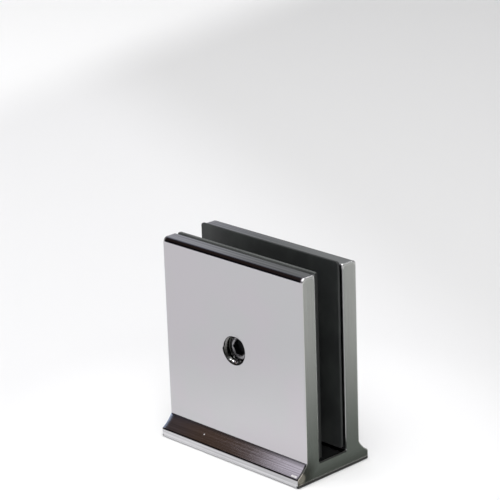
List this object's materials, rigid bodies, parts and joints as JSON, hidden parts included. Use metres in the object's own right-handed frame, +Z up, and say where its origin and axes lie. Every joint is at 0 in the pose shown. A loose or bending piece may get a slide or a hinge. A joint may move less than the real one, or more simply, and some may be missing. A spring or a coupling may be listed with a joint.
{
  "type": "glass shelf bracket",
  "caption": "Square polished U-clamp on a flared foot that grips the edge of a glass shelf or panel between a padded set screw and a rubber gasket.",
  "frame": {"origin": "middle of the footprint, at the underside of the base", "axes": "+Z up along the walls, +X along the width of the clamp and the glass, -Y out of the front wall with the set screw"},
  "size_m": [0.052, 0.0264, 0.0572],
  "materials": {
    "polished_chrome": "mirror-polished chrome plate on solid brass",
    "screw_steel": "turned steel",
    "pad_plastic": "satin dark grey plastic",
    "gasket_rubber": "matte black rubber"
  },
  "bodies": {
    "clamp": {"clamp_body": "polished_chrome", "back_gasket": "gasket_rubber"},
    "pad": {"pressure_pad": "pad_plastic"},
    "screw": {"set_screw": "screw_steel"}
  },
  "joints": [
    {"name": "pad_travel", "type": "slide", "parent": "clamp", "child": "pad", "axis": [0, 1, 0], "range_m": [0, 0.001]},
    {"name": "screw_turn", "type": "hinge", "parent": "pad", "child": "screw", "pos_m": [0, -0.00795, 0.03095], "axis": [0, 1, 0], "range_deg": [0, 288]}
  ],
  "couplings": [
    {"joint": "screw_turn", "follows": "pad_travel", "rad_per_m": 5026.5}
  ]
}
